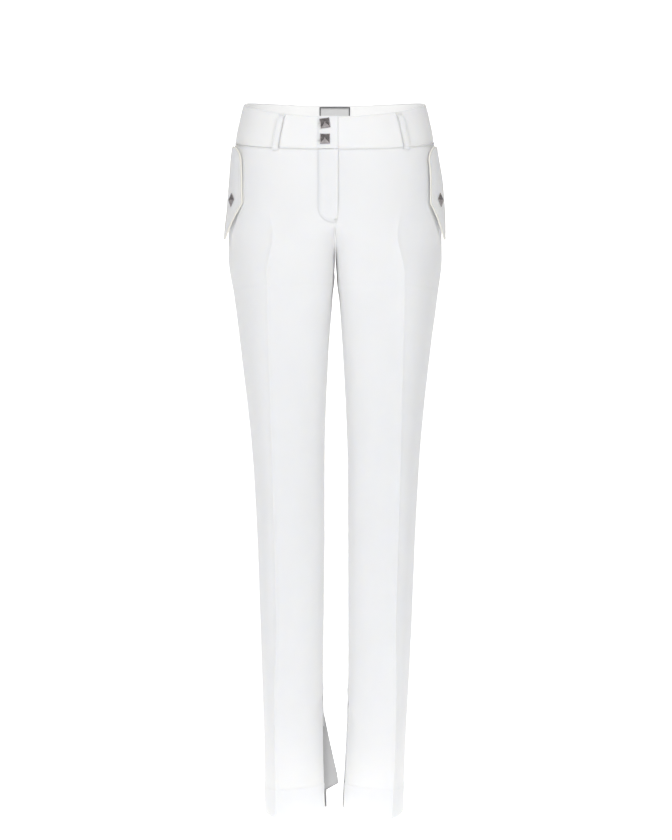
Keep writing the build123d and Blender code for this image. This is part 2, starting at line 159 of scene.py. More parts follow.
def cloth_point(z, share, side, inset=0.0):
    """A point of the pants' cloth on the wearer's left, in millimetres."""
    if z > -158:
        return hip_point(z, share, side, inset)
    if z < -234:
        return leg_point(z, share, side, inset)
    weight = smooth((-158 - z) / 76)
    a, b = hip_point(z, share, side, inset), leg_point(z, share, side, inset)
    return a * (1 - weight) + b * weight


def slit_half(z):
    """Half the opening of the hem slit at height z, in millimetres."""
    if z > SLIT_TOP * 1000:
        return 0.0
    down = (SLIT_TOP * 1000 - z) / 194
    return 5.0 * smooth(down * 24) + 8.8 * down


# ---- Materials ----


def nodes_of(name):
    material = bpy.data.materials.new(name)
    material.use_nodes = True
    tree = material.node_tree
    return material, tree, tree.nodes["Principled BSDF"]


def add_node(tree, kind, **settings):
    node = tree.nodes.new(kind)
    for key, value in settings.items():
        if key in node.inputs:
            node.inputs[key].default_value = value
        else:
            setattr(node, key, value)
    return node


def mix_colour(tree, factor, a, b):
    mix = add_node(tree, "ShaderNodeMix", data_type="RGBA")
    tree.links.new(factor, mix.inputs["Factor"])
    for socket, value in ((mix.inputs["A"], a), (mix.inputs["B"], b)):
        if isinstance(value, tuple):
            socket.default_value = (*value, 1)
        else:
            tree.links.new(value, socket)
    return mix.outputs["Result"]


def ranged(tree, value, low, high, to_low=0.0, to_high=1.0):
    node = add_node(tree, "ShaderNodeMapRange")
    tree.links.new(value, node.inputs["Value"])
    for key, number in zip(("From Min", "From Max", "To Min", "To Max"), (low, high, to_low, to_high)):
        node.inputs[key].default_value = number
    return node.outputs["Result"]


def cloth_material(name, pale, shade, pitch=0.0008, depth=0.25, rough=0.86, sheen=0.12, glow=0.0):
    """A twill: fine diagonal ribs crossed by the yarns, with a slow change of tone."""
    material, tree, shader = nodes_of(name)
    place = add_node(tree, "ShaderNodeTexCoord").outputs["Object"]
    parts = add_node(tree, "ShaderNodeSeparateXYZ")
    tree.links.new(place, parts.inputs[0])

    def wave(turn, scale):
        turned = add_node(tree, "ShaderNodeVectorRotate", rotation_type="Y_AXIS", Angle=radians(turn))
        tree.links.new(place, turned.inputs["Vector"])
        bands = add_node(
            tree, "ShaderNodeTexWave", bands_direction="X", Scale=scale, Distortion=0.35, Detail=1.0
        )
        bands.inputs["Detail Scale"].default_value = 2.0
        tree.links.new(turned.outputs[0], bands.inputs["Vector"])
        return bands.outputs["Fac"]

    ribs = wave(35, 0.31 / pitch)
    yarns = wave(-55, 0.5 / pitch)
    weave = add_node(tree, "ShaderNodeMath", operation="MULTIPLY_ADD")
    tree.links.new(yarns, weave.inputs[0])
    weave.inputs[1].default_value = 0.35
    tree.links.new(ribs, weave.inputs[2])
    slow = add_node(tree, "ShaderNodeTexNoise", Scale=14.0, Detail=3.0, Roughness=0.55)
    tree.links.new(place, slow.inputs["Vector"])
    fine = add_node(tree, "ShaderNodeTexNoise", Scale=900.0, Detail=2.0, Roughness=0.6)
    tree.links.new(place, fine.inputs["Vector"])
    tone = mix_colour(tree, ranged(tree, slow.outputs["Fac"], 0.35, 0.65), pale, shade)
    darker = tuple(c * 0.955 for c in shade)
    tone = mix_colour(tree, ranged(tree, weave.outputs[0], 0.5, 0.05, 0.0, 0.55), tone, darker)
    tree.links.new(tone, shader.inputs["Base Color"])
    tree.links.new(
        ranged(tree, fine.outputs["Fac"], 0.3, 0.7, rough - 0.05, rough + 0.05), shader.inputs["Roughness"]
    )
    height = add_node(tree, "ShaderNodeMath", operation="MULTIPLY_ADD")
    tree.links.new(fine.outputs["Fac"], height.inputs[0])
    height.inputs[1].default_value = 0.5
    tree.links.new(weave.outputs[0], height.inputs[2])
    bump = add_node(tree, "ShaderNodeBump", Strength=depth, Distance=0.0002)
    tree.links.new(height.outputs[0], bump.inputs["Height"])
    tree.links.new(bump.outputs["Normal"], shader.inputs["Normal"])
    shader.inputs["Sheen Weight"].default_value = sheen
    shader.inputs["Sheen Roughness"].default_value = 0.5
    shader.inputs["Specular IOR Level"].default_value = 0.25
    shader.inputs["Subsurface Weight"].default_value = glow
    shader.inputs["Subsurface Radius"].default_value = (1.0, 0.85, 0.6)
    shader.inputs["Subsurface Scale"].default_value = 0.004
    return material


def metal_material(name, pale, dark, rough=0.1, scratches=0.15):
    """Plated metal with fine rub marks."""
    material, tree, shader = nodes_of(name)
    place = add_node(tree, "ShaderNodeTexCoord").outputs["Object"]
    rub = add_node(tree, "ShaderNodeTexNoise", Scale=420.0, Detail=4.0, Roughness=0.65)
    tree.links.new(place, rub.inputs["Vector"])
    cloud = add_node(tree, "ShaderNodeTexNoise", Scale=160.0, Detail=2.0)
    tree.links.new(place, cloud.inputs["Vector"])
    tone = mix_colour(tree, ranged(tree, cloud.outputs["Fac"], 0.35, 0.7), pale, dark)
    tree.links.new(tone, shader.inputs["Base Color"])
    tree.links.new(
        ranged(tree, rub.outputs["Fac"], 0.3, 0.75, rough, rough + scratches), shader.inputs["Roughness"]
    )
    bump = add_node(tree, "ShaderNodeBump", Strength=0.06, Distance=0.0001)
    tree.links.new(rub.outputs["Fac"], bump.inputs["Height"])
    tree.links.new(bump.outputs["Normal"], shader.inputs["Normal"])
    shader.inputs["Metallic"].default_value = 1.0
    return material


def plastic_material(name, pale, dark, rough):
    material, tree, shader = nodes_of(name)
    place = add_node(tree, "ShaderNodeTexCoord").outputs["Object"]
    grain = add_node(tree, "ShaderNodeTexNoise", Scale=1500.0, Detail=3.0)
    tree.links.new(place, grain.inputs["Vector"])
    tone = mix_colour(tree, ranged(tree, grain.outputs["Fac"], 0.3, 0.7), pale, dark)
    tree.links.new(tone, shader.inputs["Base Color"])
    grit = ranged(tree, grain.outputs["Fac"], 0.3, 0.7, rough, rough + 0.12)
    tree.links.new(grit, shader.inputs["Roughness"])
    bump = add_node(tree, "ShaderNodeBump", Strength=0.15, Distance=0.0001)
    tree.links.new(grain.outputs["Fac"], bump.inputs["Height"])
    tree.links.new(bump.outputs["Normal"], shader.inputs["Normal"])
    return material


SHELL = cloth_material("white_twill", (0.925, 0.924, 0.922), (0.91, 0.909, 0.907), glow=0.3)
BAND = cloth_material("band_twill", (0.93, 0.929, 0.927), (0.915, 0.914, 0.911), glow=0.3)
INSIDE = cloth_material("inner_lining", (0.975, 0.975, 0.97), (0.965, 0.965, 0.96), 0.0005, 0.12, 0.7)
# The waistband lining glows faintly: painted light that brightens the shaded inside of the band.
GLOWING_WAIST_LINING = cloth_material("waist_lining_painted_glow", (0.975, 0.975, 0.97), (0.965, 0.965, 0.96), 0.0005, 0.12, 0.7)
GLOWING_WAIST_LINING.node_tree.nodes["Principled BSDF"].inputs["Emission Color"].default_value = (1, 1, 1, 1)
GLOWING_WAIST_LINING.node_tree.nodes["Principled BSDF"].inputs["Emission Strength"].default_value = 0.2
# A grey that paints shade on white cloth: the vent guard deep in the slit and the shadow inside each
# buttonhole slit.
PAINTED_SHADE_GREY = cloth_material("painted_shade_grey", (0.56, 0.56, 0.565), (0.50, 0.50, 0.505), 0.0005, 0.15, 0.62)
PIPING = cloth_material("cream_piping", (0.90, 0.88, 0.82), (0.87, 0.85, 0.78), 0.0005, 0.2)
THREAD = cloth_material("white_thread", (0.84, 0.84, 0.83), (0.80, 0.80, 0.79), 0.0003, 0.4, 0.7)
TAPE = cloth_material("zip_tape", (0.33, 0.32, 0.33), (0.27, 0.26, 0.27), 0.0006, 0.5, 0.75)
LABEL = cloth_material("label_satin", (0.86, 0.86, 0.86), (0.82, 0.82, 0.82), 0.0004, 0.12, 0.5)
BORDER = cloth_material("label_border", (0.13, 0.13, 0.14), (0.10, 0.10, 0.11), 0.0004, 0.2, 0.6)
STUD = metal_material("polished_nickel", (0.52, 0.485, 0.48), (0.36, 0.33, 0.335), 0.05, 0.1)
ZIP_METAL = metal_material("satin_nickel", (0.47, 0.44, 0.43), (0.36, 0.34, 0.34), 0.25, 0.2)
TEETH = plastic_material("nylon_teeth", (0.40, 0.39, 0.40), (0.30, 0.29, 0.30), 0.35)
BLACK = plastic_material("black_trim", (0.018, 0.018, 0.02), (0.03, 0.03, 0.032), 0.45)

# ---- Mesh helpers ----


def new_object(name, vertices, faces, material, body=None, smooth_faces=True):
    mesh = bpy.data.meshes.new(name)
    mesh.from_pydata([tuple(v) for v in vertices], [], faces)
    mesh.validate()
    obj = bpy.data.objects.new(name, mesh)
    bpy.context.scene.collection.objects.link(obj)
    work = bmesh.new()
    work.from_mesh(mesh)
    bmesh.ops.remove_doubles(work, verts=work.verts, dist=1e-7)
    bmesh.ops.recalc_face_normals(work, faces=work.faces)
    work.to_mesh(mesh)
    work.free()
    for face in mesh.polygons:
        face.use_smooth = smooth_faces
    mesh.materials.append(material)
    if body:
        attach(obj, body)
    return obj


def grid_normals(points):
    """Unit normals of a grid of points, rows by columns."""
    along = np.gradient(points, axis=0)
    across = np.gradient(points, axis=1)
    normals = np.cross(across, along)
    lengths = np.linalg.norm(normals, axis=2, keepdims=True)
    return normals / np.maximum(lengths, 1e-12)


def slab(points, thickness, outward):
    """Closed cloth from a grid of its outer points. outward gives the side that the normals face.
    thickness may be a number or one value for each point."""
    normals = grid_normals(points)
    if outward < 0:
        normals = -normals
    rows, columns = points.shape[:2]
    thick = np.broadcast_to(np.asarray(thickness, float), (rows, columns))[..., None]
    inner = points - normals * thick
    vertices = list(points.reshape(-1, 3)) + list(inner.reshape(-1, 3))
    size = rows * columns

    def at(i, j):
        return i * columns + j

    faces = []
    for i in range(rows - 1):
        for j in range(columns - 1):
            quad = (at(i, j), at(i, j + 1), at(i + 1, j + 1), at(i + 1, j))
            faces.append(quad)
            faces.append(tuple(size + k for k in reversed(quad)))
    rim = [at(0, j) for j in range(columns)] + [at(i, columns - 1) for i in range(1, rows)]
    rim += [at(rows - 1, j) for j in range(columns - 2, -1, -1)] + [at(i, 0) for i in range(rows - 2, 0, -1)]
    for a, b in zip(rim, rim[1:] + rim[:1]):
        faces.append((a, b, size + b, size + a))
    return vertices, faces


def tube_along(points, radius, sides=8, closed=False, flat=1.0, up=None):
    """A round or flattened cord along points, as vertices and faces."""
    points = [Vector(p) for p in points]
    vertices, faces = [], []
    count = len(points)
    guide = Vector(up) if up is not None else Vector((0.3, 0.2, 1))
    for i, point in enumerate(points):
        before = points[i - 1] if closed or i else points[0]
        after = points[(i + 1) % count] if closed or i < count - 1 else points[-1]
        forward = (after - before).normalized()
        side = forward.cross(guide)
        if side.length < 1e-6:
            side = forward.cross(Vector((1, 0, 0)))
        side.normalize()
        top = side.cross(forward).normalized()
        for k in range(sides):
            a = 2 * pi * k / sides
            vertices.append(point + side * radius * cos(a) + top * radius * flat * sin(a))
    for i in range(count if closed else count - 1):
        for k in range(sides):
            a, b = i * sides + k, i * sides + (k + 1) % sides
            c, d = ((i + 1) % count) * sides + (k + 1) % sides, ((i + 1) % count) * sides + k
            faces.append((a, b, c, d))
    if not closed:
        faces.append(tuple(range(sides - 1, -1, -1)))
        faces.append(tuple((count - 1) * sides + k for k in range(sides)))
    return vertices, faces


class Pile:
    """Several small meshes gathered in one."""

    def __init__(self):
        self.vertices, self.faces = [], []

    def add(self, vertices, faces):
        start = len(self.vertices)
        self.vertices += [tuple(v) for v in vertices]
        self.faces += [tuple(start + k for k in face) for face in faces]

    def make(self, name, material, body=None, smooth_faces=True):
        return new_object(name, self.vertices, self.faces, material, body, smooth_faces)


def stitches(path, normal_of, pile, length=0.0024, gap=0.0009, radius=0.00022, lift=0.00008):
    """A row of stitches along a path of points, laid on the cloth."""
    path = [Vector(p) for p in path]
    walked, total = [0.0], 0.0
    for a, b in zip(path, path[1:]):
        total += (b - a).length
        walked.append(total)

    def at(distance):
        for i in range(len(path) - 1):
            if distance <= walked[i + 1] or i == len(path) - 2:
                span = max(1e-9, walked[i + 1] - walked[i])
                return path[i].lerp(path[i + 1], min(1, (distance - walked[i]) / span))

    start = gap / 2
    while start + length < total:
        a, m, b = at(start), at(start + length / 2), at(start + length)
        n = Vector(normal_of(m)).normalized()
        points = (a - n * radius * 0.6, a.lerp(m, 0.5) + n * lift, m + n * lift * 1.6)
        points += (m.lerp(b, 0.5) + n * lift, b - n * radius * 0.6)
        pile.add(*tube_along(points, radius, 6, flat=0.8, up=n))
        start += length + gap


def cloth_object(name, points, thickness, outward, outer, inner, body=None):
    """A sheet of cloth with one material outside and another inside."""
    vertices, faces = slab(points, thickness, outward)
    mesh = bpy.data.meshes.new(name)
    mesh.from_pydata([tuple(v) for v in vertices], [], faces)
    mesh.materials.append(outer)
    mesh.materials.append(inner)
    count = (points.shape[0] - 1) * (points.shape[1] - 1)
    for i, face in enumerate(mesh.polygons):
        face.use_smooth = i < 2 * count
        face.material_index = 1 if i < 2 * count and i % 2 else 0
    if outward < 0:
        mesh.flip_normals()
    obj = bpy.data.objects.new(name, mesh)
    bpy.context.scene.collection.objects.link(obj)
    if body:
        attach(obj, body)
    return obj


# ---- Leg panels, waist to hem in one piece of cloth ----

FLY_SLOT_X, FLY_SLOT_BOTTOM = 2.5, -140.0


def share_at_x(z, x):
    width = table(HIPS, z)[1]
    return np.arccos(1 - 2 * min(1, x / width)) / pi


def start_share(z, side):
    """Where a panel's inner edge lies: at the seam, at the zip's slot or at the hem slit."""
    if side < 0 and z > FLY_SLOT_BOTTOM - 4:
        return share_at_x(z, FLY_SLOT_X) * ramp(FLY_SLOT_BOTTOM - 4, FLY_SLOT_BOTTOM, z)
    half = slit_half(z)
    if half == 0:
        return 0.0
    row = table(LEGS, z)
    depth = row[2] if side < 0 else row[3]
    return np.arcsin(half / depth) / pi


def crease_share(z):
    return 0.5 + 0.07 * ramp(-230, -120, z)


def ridge(value, centre, width):
    return exp(-(((value - centre) / width) ** 2))


def fold(a, z, start, end, width):
    """The height of a small fold of cloth that runs from start to end, at the point (a, z)."""
    ax, az = start
    bx, bz = end
    length = ((bx - ax) ** 2 + (bz - az) ** 2) ** 0.5
    ux, uz = (bx - ax) / length, (bz - az) / length
    along = (a - ax) * ux + (z - az) * uz
    off = (a - ax) * uz - (z - az) * ux
    spread = width * (0.7 + 0.9 * max(0, along) / length)
    return exp(-((off / spread) ** 2)) * ramp(-6, 4, along) * (1 - ramp(0.55 * length, 1.1 * length, along))


# Folds: start, end, width and height, as distance from the inner seam and height, in millimetres
FOLDS = {
    ("right", -1): (
        ((2, -862), (40, -890), 4.0, 1.5), ((2, -874), (34, -912), 4.2, -1.2),
        ((3, -850), (34, -858), 4.0, -0.7), ((6, -232), (52, -252), 6, 0.7),
        ((6, -246), (46, -274), 6, -0.6), ((20, -168), (64, -182), 8, 0.5)
    ),
    ("left", -1): (
        ((2, -864), (44, -918), 4.4, 1.5), ((2, -878), (30, -940), 4.0, -1.1),
        ((3, -852), (30, -866), 4.0, 0.6), ((6, -234), (54, -256), 6, 0.7),
        ((6, -250), (44, -280), 6, -0.6), ((22, -166), (60, -180), 8, 0.4)
    ),
    ("right", 1): (
        ((2, -864), (36, -884), 4.0, 1.0), ((6, -214), (60, -236), 7, -1.2),
        ((8, -232), (66, -262), 7, 1.0)
    ),
    ("left", 1): (
        ((2, -866), (38, -896), 4.0, 1.0), ((6, -216), (64, -238), 7, -1.2),
        ((8, -236), (62, -268), 7, 1.0)
    ),
}


def relief(a, z, share, start, side, name):
    """How far the cloth stands out from the plain shape, in millimetres."""
    away = abs(share - crease_share(z))
    pressed = 1 - ramp(-190, -110, z)
    out = pressed * (2.6 * exp(-away / 0.02) - 1.0 * exp(-((away / 0.12) ** 2)))
    out -= 0.9 * exp(-(1 - share) / 0.004)
    if z > SLIT_TOP * 1000 and z < FLY_SLOT_BOTTOM - 4:
        out -= 0.9 * exp(-(share - start) / 0.004)
    middle = smooth((share - start) * 9) * smooth((1 - share) * 7)
    turn = 0.9 if name == "left" else -0.4
    out += middle * 0.42 * sin(z / 58 + 5 * share + turn) * sin(6.1 * share + z / 170 + 2 * turn)
    out += middle * 0.22 * sin(z / 23 - 7 * share + 3 * turn)
    knee = ridge(z, -640, 90)
    out += middle * knee * 0.35 * sin(z / 13 + 9 * share + turn)
    if side < 0:
        out += 0.42 * ridge(z, -253 + 3 * sin(5 * share), 2.4) * middle
    out += 0.5 * ridge(z, -1011, 1.5) + 0.3 * (1 - ramp(-1014, -1009, z))
    out -= 1.0 * (1 - ramp(-1052.5, -1049.5, z)) ** 2
    if side > 0:
        out += (2.5 if name == "right" else 0.0) * ramp(-858, -960, z) * exp(-a / 22)
    for begin, end, width, height in FOLDS[(name, side)]:
        if abs(z - begin[1]) < 90:
            out += height * fold(a, z, begin, end, width)
    return out


def panel_points(side, name):
    """The outer surface of one panel, in metres, from the waist seam to the hem."""
    rows = list(np.arange(-25.4, -135, -4)) + list(np.arange(-135, -146, -1.5))
    rows += list(np.arange(-146, -246, -4)) + list(np.arange(-246, -262, -1.6))
    rows += list(np.arange(-262, -850, -6)) + list(np.arange(-850, -872, -1.5))
    rows += list(np.arange(-872, -1006, -4)) + list(np.arange(-1006, -1018, -1.2))
    rows += list(np.arange(-1018, -1047, -4)) + [-1048, -1049.5, -1050.6, -1051.4, -1052]
    half = [0, 0.004, 0.01, 0.02, 0.035, 0.06]
    half += list(np.linspace(0.09, 0.86, 20)) + [0.89, 0.92, 0.945, 0.965, 0.98, 0.99]
    base = [h / 2 for h in half] + [0.5] + [1 - h / 2 for h in reversed(half)]
    grid, shares, starts = [], [], []
    for z in rows:
        start, crease = start_share(z, side), crease_share(z)
        line = []
        for b in base:
            if b < 0.5:
                line.append(start + (crease - start) * b * 2)
            else:
                line.append(crease + (1 - crease) * (b - 0.5) * 2)
        shares.append(line)
        starts.append(start)
        grid.append([cloth_point(z, s, side) for s in line])
    grid = np.array(grid)
    normals = grid_normals(grid)
    if np.sum(normals[..., 1]) * side < 0:
        normals = -normals
    for i, z in enumerate(rows):
        steps = np.linalg.norm(np.diff(grid[i], axis=0), axis=1)
        across = np.concatenate([[0], np.cumsum(steps)]) + slit_half(z)
        for j, share in enumerate(shares[i]):
            height = relief(across[j], z, share, starts[i], side, name)
            grid[i, j] += normals[i, j] * height
    sway = np.array([table(SWAY, z)[0] for z in grid[:, 0, 2]])
    if name == "right":
        grid[..., 0] *= -1
    grid[..., 0] += sway[:, None]
    return grid * MM


def outward_sign(points, side):
    normals = grid_normals(points)
    return 1 if np.sum(normals[..., 1]) * side > 0 else -1


for name in ("left", "right"):
    for side, place in ((-1, "front"), (1, "back")):
        grid = panel_points(side, name)
        panel = cloth_object(
            f"{place}_panel_{name}", grid, 0.0014, outward_sign(grid, side), SHELL, INSIDE,
        )
        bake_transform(panel)
        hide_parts(f"{place}_panel_upper_{name}", f"{place}_panel_lower_{name}")

# ---- Turned-up hems ----

for name in ("left", "right"):
    for side, place in ((-1, "front"), (1, "back")):
        heights = np.linspace(-1010, -1051, 12)
        grid = []
        for z in heights:
            start = start_share(z, side) + 0.012
            grid.append([cloth_point(z, s, side, 1.9) for s in np.linspace(start, 0.992, 34)])
        grid = np.array(grid) * MM
        if name == "right":
            grid[..., 0] *= -1
        grid[..., 0] += np.array([table(SWAY, z)[0] * MM for z in heights])[:, None]
        turned = cloth_object(
            f"hem_turn_{place}_{name}", grid, 0.0008, outward_sign(grid, side), INSIDE, SHELL,
            f"lower_leg_{name}"
        )
        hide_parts(f"hem_facing_{name}")

# ---- Waistband ----


SEAM_Z = -25.0


def rim_height(y):
    """The height parameter of the band's top edge at depth y: low in front, high at the sides."""
    return 22 + 10.5 * max(0.0, 1 - (y / 101) ** 2) ** 0.8 + 1.2 * (1 - ramp(-60, 0, y))


def band_swell(up):
    """How far the padded band stands out, from its seam (0) to its top edge (1)."""
    out = 1.0 * (1 - abs(2 * up - 1) ** 5) - 0.5
    return out - 0.9 * ramp(0.965, 1.0, up) - 0.4 * (1 - ramp(0, 0.04, up))


def band_point(share, side, up, inset=0.0):
    """A point of the band, a share of its height up, round from the centre to the side seam."""
    y = hip_point(0, share, side, inset, 0.4)[1]
    z = SEAM_Z + 0.2 + (rim_height(y) - SEAM_Z) * up
    return hip_point(z, share, side, inset, 0.4)


def band_line(up, shares, inset=0.0):
    """Points of the band at one level, round from the centre front to the centre back."""
    front = [band_point(s, -1, up, inset) for s in shares]
    back = [band_point(s, 1, up, inset) for s in reversed(shares)]
    return front + back[1:]


band_levels = [0, 0.012, 0.03, 0.07, 0.15, 0.26, 0.38, 0.5, 0.62, 0.74, 0.85, 0.92, 0.96, 0.98, 0.993, 1]
for name in ("left", "right"):
    front_shares = [0.0] + list(np.linspace(0.06, 0.97, 40)) + [0.985, 1.0]
    grid = np.array([band_line(u, front_shares, -band_swell(u)) for u in band_levels]) * MM
    if name == "right":
        grid[..., 0] *= -1
    normals = grid_normals(grid)
    outward = 1 if np.sum(normals[..., 0] * np.sign(grid[..., 0])) > 0 else -1
    band = cloth_object(
        f"waistband_{name}_outer", grid, 0.0022, outward, BAND, INSIDE, "hips"
    )
    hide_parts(f"waistband_{name}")
    lining_levels = [0.01, 0.15, 0.35, 0.55, 0.75, 0.9, 0.965, 0.985]
    grid = []
    for u in lining_levels:
        front = [band_point(s, -1, u, 2.9) for s in list(np.linspace(0.34, 0.97, 26)) + [1.0]]
        back = [band_point(s, 1, u, 2.9) for s in list(np.linspace(0.985, 0.0, 34))]
        grid.append(front + back)
    grid = np.array(grid) * MM
    if name == "right":
        grid[..., 0] *= -1
    # The lining's material glows with painted light.
    lining = cloth_object(
        f"waistband_{name}_lining", grid, 0.0009, outward, GLOWING_WAIST_LINING, GLOWING_WAIST_LINING, "hips"
    )
    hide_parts(f"waistband_facing_{name}")

# ---- Front surface, for what lies on it ----


def hips_y(x, z, side=-1, proud=0.0):
    """y of the hips' surface at (x, z), in millimetres, with the surface grown by proud."""
    level = z
    for _ in range(6):
        tilt, width, front, back = table(HIPS, level)
        depth = (front if side < 0 else back) + proud
        share = min(1, abs(x) / (width + proud))
        y = side * depth * max(0.0, 1 - share**HIP_POWER) ** (1 / HIP_POWER)
        t = radians(tilt)
        level = z - y * sin(t)
    return y * cos(t)


def on_band(across, z, side, proud=0.0):
    """A point on the outside of the band, a signed share across of its half width."""
    tilt, width, front, back = table(HIPS, z)
    depth = (front if side < 0 else back) + proud
    y = side * depth * (1 - abs(across) ** HIP_POWER) ** (1 / HIP_POWER)
    t = radians(tilt)
    return np.array((across * (width + proud), y * cos(t), z + y * sin(t)))


def forward(point):
    return (0, -1, 0.08)


# ---- Waist tab and fly flap ----

HINGE_X, EDGE_X, STUD_X = -26.0, 5.0, -14.5

columns = [HINGE_X, -25.7, -25, -24, -22, -20, -17, -13, -9, -5, -1, 2, 3.3, 4, 4.5, 4.85, EDGE_X]
levels = [0, 0.012, 0.03, 0.08, 0.18, 0.3, 0.45, 0.6, 0.75, 0.86, 0.93, 0.97, 0.99, 1]
grid, thick = [], []
for u in levels:
    z = SEAM_Z + 0.3 + (23.2 - SEAM_Z) * u
    line, layer = [], []
    for x in columns:
        rise = 0.95 + 2.25 * ramp(-25.6, -18, x) + 0.4 * ridge(x, -8, 14)
        edge = 0.8 * ramp(3.6, EDGE_X, x) + 0.5 * (1 - ramp(HINGE_X, -25.4, x))
        rise += band_swell(u) * 0.8 - edge
        line.append(on_band(x / 147, z, -1) + np.array((0, -rise, 0)))
        layer.append(max(0.15, min(2.1, rise - 0.4 - band_swell(u))))
    grid.append(line)
    thick.append(layer)
grid = np.array(grid) * MM
tab = cloth_object(
    "waist_tab_cloth", grid, np.array(thick) * MM, outward_sign(grid, -1), BAND, INSIDE, "fly"
)
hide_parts("waist_tab")

tab_thread = Pile()
edge_path = [
    (np.array(on_band((EDGE_X - 1.6) / 147, z, -1)) + (0, -3.3, 0)) * MM for z in np.linspace(-22, 20, 12)
]
stitches(edge_path, forward, tab_thread, radius=0.0002)
# Buttonholes, each with its end under a stud, and a grey cord in each slit that paints its shadow
slit_shadows = Pile()
for z in (11.8, -12.4):
    for row in (-1, 1):
        path = [
            (np.array(on_band(x / 147, z + row * 0.9, -1)) + (0, -3.35 + 0.012 * abs(x + 20), 0)) * MM
            for x in np.linspace(-24.6, -14, 7)
        ]
        tab_thread.add(*tube_along(path, 0.0004, 8, flat=0.7, up=(0, -1, 0)))
    end = [
        (np.array(on_band(-24.8 / 147, z + r, -1)) + (0, -3.3, 0)) * MM for r in np.linspace(-1.4, 1.4, 5)
    ]
    tab_thread.add(*tube_along(end, 0.00045, 8, flat=0.7, up=(0, -1, 0)))
    # A grey cord along each slit: painted shadow inside the buttonhole.
    slit_shadow_path = [
        (np.array(on_band(x / 147, z, -1)) + (0, -3.12, 0)) * MM for x in np.linspace(-24, -14, 6)
    ]
    slit_shadows.add(*tube_along(slit_shadow_path, 0.0003, 6, flat=0.5, up=(0, -1, 0)))
tab_thread.make("tab_stitching", THREAD, "fly")
slit_shadows.make("buttonhole_slit_shadows", PAINTED_SHADE_GREY, "fly")

FLY_TOP, FLY_BOTTOM = -49.4, -161.0


def fly_bottom(x):
    """The lower edge of the fly flap, J-shaped towards its hinge."""
    if x > 1:
        return FLY_BOTTOM + 1.2 + 5.5 * ((x - 1) / 4) ** 2
    t = (1 - x) / (1 - HINGE_X)
    return FLY_BOTTOM + 1.2 + 27 * (1 - (1 - t**2.6) ** 0.5)


def fly_rise(x, z):
    """How far the flap stands out from the front, in millimetres."""
    low = z - fly_bottom(x)
    rise = 0.45 + 2.0 * ramp(-25.5, -17, x) * ramp(0, 9, low)
    rise += 1.3 * ramp(-6, EDGE_X, x) * ramp(2, 30, low)
    rise += 0.25 * sin(z / 11) * ramp(-4, EDGE_X, x) * ramp(0, 20, low)
    return rise - 0.7 * ramp(3.7, EDGE_X, x) - 0.25 * (1 - ramp(0, 1.2, low))


columns = [HINGE_X, -25.8, -25.4, -25, -24, -22, -19, -15, -11, -7, -3, 0, 1, 2.5, 3.5, 4.2, 4.7, EDGE_X]
shares = [0, 0.01, 0.03] + list(np.linspace(0.07, 0.93, 26)) + [0.955, 0.975, 0.985, 0.993, 1]
grid, thick = [], []
for t in shares:
    line, layer = [], []
    for x in columns:
        z = FLY_TOP + (fly_bottom(x) - FLY_TOP) * t
        rise = fly_rise(x, z)
        line.append((x, hips_y(x, z) - rise, z))
        layer.append(max(0.2, min(1.7, rise - 0.15)))
    grid.append(line)
    thick.append(layer)
grid = np.array(grid) * MM
flap = cloth_object(
    "fly_flap_cloth", grid, np.array(thick) * MM, outward_sign(grid, -1), SHELL, INSIDE, "fly"
)
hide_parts("fly_flap")

fly_thread = Pile()
INSET = 1.3
path = []
x = HINGE_X + INSET
for z in np.linspace(FLY_TOP - 1, -124, 24):
    path.append((x, hips_y(x, z) - fly_rise(x, z) - 0.05, z))
for x in np.linspace(HINGE_X + INSET + 0.5, 1, 26):
    z = fly_bottom(x) + INSET
    if z < path[-1][2]:
        path.append((x, hips_y(x, z) - fly_rise(x, z) - 0.05, z))
stitches(np.array(path) * MM, forward, fly_thread, radius=0.00022)
fly_thread.make("fly_stitching", THREAD, "fly")

# Bar tack across the foot of the fly
tack = Pile()
for k in range(9):
    x = -1.0 + 0.55 * k
    z = -155.0 + 0.15 * k
    y = hips_y(x, z) - fly_rise(x, z) - 0.15
    ends = np.array([(x, y, z + 1.1), (x, y - 0.12, z), (x, y, z - 1.1)]) * MM
    tack.add(*tube_along(ends, 0.00026, 6, up=(0, -1, 0)))
tack.make("fly_bar_tack", THREAD, "fly")

# ---- Studs ----


def stud_mesh(name, centre, outward, up, turn, half, peak, body):
    """A faceted square pyramid in a stepped rim. centre is on the cloth."""
    n = Vector(outward).normalized()
    u = Vector(up)
    u = (u - n * u.dot(n)).normalized()
    s = u.cross(n)
    t = radians(turn)
    a, b = s * cos(t) + u * sin(t), u * cos(t) - s * sin(t)
    rings = [(0.97, 0.0), (1.0, 0.25), (1.0, 0.95), (0.95, 1.2), (0.89, 1.2), (0.87, 1.35)]
    rings += [(0.44, 0.5 * (1.35 + peak) + 0.1), (0.1, peak)]
    vertices, faces = [], []
    for scale, height in rings:
        for i, j in ((1, 1), (-1, 1), (-1, -1), (1, -1)):
            vertices.append(Vector(centre) + (a * i + b * j) * half * scale + n * height * MM)
    for r in range(len(rings) - 1):
        for k in range(4):
            p, q = r * 4 + k, r * 4 + (k + 1) % 4
            faces.append((p, q, q + 4, p + 4))
    faces.append((3, 2, 1, 0))
    faces.append(tuple(range(len(vertices) - 4, len(vertices))))
    obj = new_object(name, vertices, faces, STUD, None, True)
    bevel = obj.modifiers.new("worn_edges", "BEVEL")
    bevel.width, bevel.segments, bevel.limit_method = 0.0003, 3, "ANGLE"
    bevel.angle_limit = radians(8)
    bevel.harden_normals = True
    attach(obj, body)
    return obj


